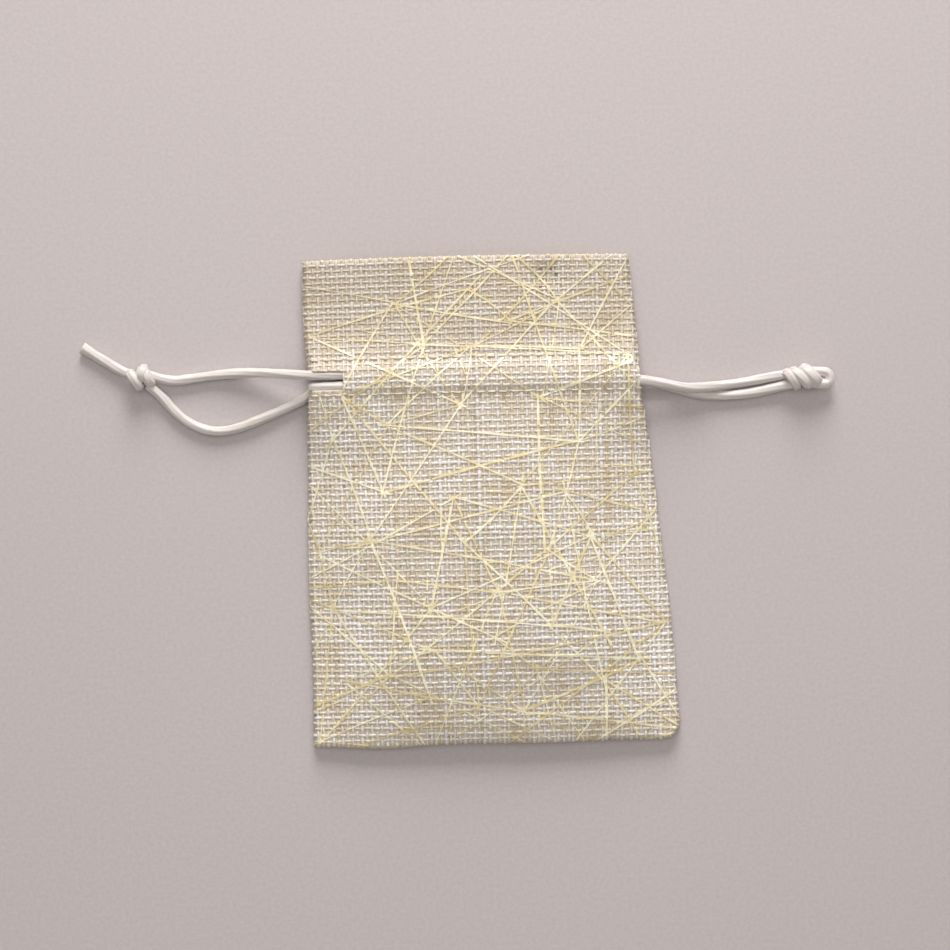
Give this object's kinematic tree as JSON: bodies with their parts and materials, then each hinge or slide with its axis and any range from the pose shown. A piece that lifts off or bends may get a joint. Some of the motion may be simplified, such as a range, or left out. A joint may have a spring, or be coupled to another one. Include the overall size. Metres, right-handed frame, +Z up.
{
  "type": "drawstring gift sack",
  "caption": "Small flat-lying fabric gift sack with a sewn casing, a stand-up header and two cord loops that pull apart to gather its neck.",
  "frame": {"origin": "on the table, under the middle of the sack's own box, without its cords", "axes": "+Y from the base to the mouth, +X to the right as seen from the front, +Z up through the front, out of the table"},
  "size_m": [0.2175, 0.14, 0.014],
  "materials": {
    "cloth": "open plain weave, off-white and tan threads with pale gold foil lines",
    "cloth_inside": "open plain weave, off-white and tan threads",
    "thread": "matte sewing thread",
    "cord": "satin cord"
  },
  "bodies": {
    "sack": {"front_panel": "cloth", "back_panel": "cloth", "front_hem": "cloth_inside", "back_hem": "cloth_inside", "bottom_seam": "cloth_inside", "bottom_stitches": "thread", "front_lower_stitches": "thread", "front_upper_stitches": "thread", "back_lower_stitches": "thread", "back_upper_stitches": "thread"},
    "left_side": {"left_side_seam": "cloth_inside", "left_side_stitches": "thread"},
    "right_side": {"right_side_seam": "cloth_inside", "right_side_stitches": "thread"},
    "left_neck": {"left_header_seam": "cloth_inside", "left_header_stitches": "thread"},
    "right_neck": {"right_header_seam": "cloth_inside", "right_header_stitches": "thread"},
    "left_drawstring": {"left_drawstring_loop": "cord", "left_drawstring_knot": "cord", "left_drawstring_tail": "cord"},
    "right_drawstring": {"right_drawstring_loop": "cord", "right_drawstring_knot": "cord", "right_drawstring_end": "cord"}
  },
  "joints": [
    {"name": "right_drawstring_pull", "type": "slide", "parent": "sack", "child": "right_drawstring", "axis": [1, 0, 0], "range_m": [0, 0.026], "deforming": ["front_panel", "back_panel", "front_hem", "back_hem", "bottom_seam", "bottom_stitches", "front_lower_stitches", "front_upper_stitches", "back_lower_stitches", "back_upper_stitches"]},
    {"name": "left_drawstring_pull", "type": "slide", "parent": "sack", "child": "left_drawstring", "axis": [-1, 0, 0], "range_m": [0, 0.026]},
    {"name": "left_neck_gather", "type": "slide", "parent": "sack", "child": "left_neck", "axis": [1, 0, 0], "range_m": [0, 0.026]},
    {"name": "right_neck_gather", "type": "slide", "parent": "sack", "child": "right_neck", "axis": [-1, 0, 0], "range_m": [0, 0.026]},
    {"name": "left_side_lean", "type": "hinge", "parent": "sack", "child": "left_side", "pos_m": [-0.0345, -0.07, 0], "axis": [0, 0, -1], "range_deg": [0, 14.6]},
    {"name": "right_side_lean", "type": "hinge", "parent": "sack", "child": "right_side", "pos_m": [0.027, -0.07, 0], "axis": [0, 0, 1], "range_deg": [0, 14.6]}
  ],
  "couplings": [
    {"joint": "left_drawstring_pull", "follows": "right_drawstring_pull", "ratio": 1},
    {"joint": "left_neck_gather", "follows": "right_drawstring_pull", "ratio": 1},
    {"joint": "right_neck_gather", "follows": "right_drawstring_pull", "ratio": 1},
    {"joint": "left_side_lean", "follows": "right_drawstring_pull", "rad_per_m": 9.8},
    {"joint": "right_side_lean", "follows": "right_drawstring_pull", "rad_per_m": 9.8}
  ]
}
